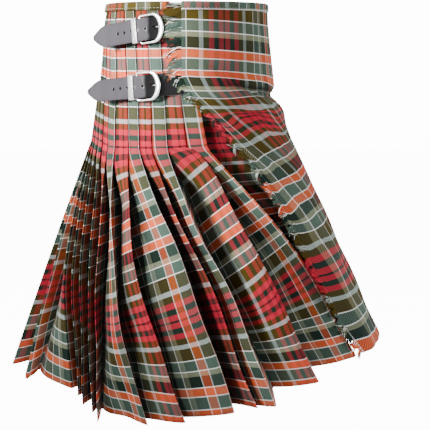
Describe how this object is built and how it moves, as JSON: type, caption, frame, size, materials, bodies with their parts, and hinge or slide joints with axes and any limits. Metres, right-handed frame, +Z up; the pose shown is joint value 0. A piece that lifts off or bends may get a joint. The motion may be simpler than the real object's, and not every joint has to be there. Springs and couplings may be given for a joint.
{
  "type": "kilt",
  "caption": "Knife-pleated tartan kilt in its worn, hollow form: wrapped aprons with a fringed edge, open waist and hem, leather straps with D-shaped chrome buckles at the right hip.",
  "frame": {"origin": "middle of the waist opening, in the plane of the waistband's top edge, where the wearer's waist holds the kilt", "axes": "+Z up, -Y the wearer's front, -X the wearer's right hip where the buckles are"},
  "size_m": [0.5721, 0.5904, 0.5705],
  "materials": {
    "tartan": "woven 2/2 twill wool tartan: red, orange, olive, sage and dark green with white lines",
    "band": "narrow folded binding of the same cloth",
    "fringe": "pulled-thread wool fringe",
    "leather": "black semi-gloss",
    "chrome": "polished"
  },
  "bodies": {
    "root": {"over_apron": "tartan", "under_apron": "tartan", "pleats_left": "tartan", "pleats_right": "tartan", "apron_fringe": "fringe", "waistband_apron": "band", "waistband_pleats": "band", "strap_upper": "leather", "strap_lower": "leather", "tab_upper": "leather", "tab_lower": "leather", "buckle_frame_upper": "chrome", "buckle_frame_lower": "chrome", "buckle_prong_upper": "chrome", "buckle_prong_lower": "chrome", "keeper_upper": "chrome", "keeper_lower": "chrome"}
  },
  "joints": []
}
